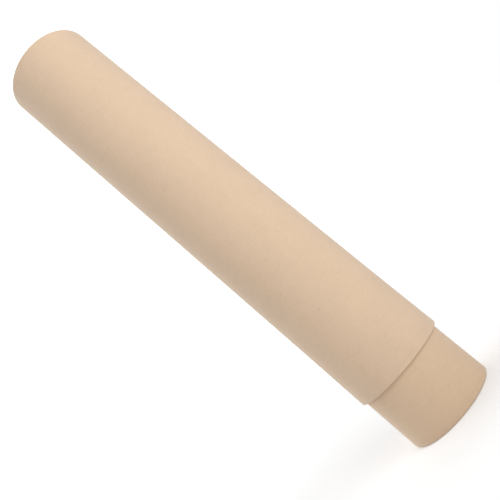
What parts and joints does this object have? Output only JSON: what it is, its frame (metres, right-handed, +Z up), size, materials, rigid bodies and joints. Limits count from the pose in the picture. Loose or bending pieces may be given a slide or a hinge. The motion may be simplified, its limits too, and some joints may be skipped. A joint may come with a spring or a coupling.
{
  "type": "cardboard mailing tube",
  "caption": "Telescoping round kraft cardboard mailing tube, a long lid sliding down over a narrower base, with closed ends, for rolled papers and posters.",
  "frame": {"origin": "centre of the ring that the base's rolled rim stands on", "axes": "+Z up the common axis of the two tubes, from the base's rim to the lid's closed end; X and Y lie across the round tubes"},
  "size_m": [0.065, 0.065, 0.34],
  "materials": {
    "kraft_tube": "matte natural kraft paper, lightly calendered",
    "kraft_disc": "matte pressed kraft board"
  },
  "bodies": {
    "base": {"base_tube": "kraft_tube", "base_end_disc": "kraft_disc"},
    "lid": {"lid_tube": "kraft_tube", "lid_end_disc": "kraft_disc"}
  },
  "joints": [
    {"name": "lid_slide", "type": "slide", "parent": "base", "child": "lid", "axis": [0, 0, 1], "range_m": [0, 0.36]}
  ]
}
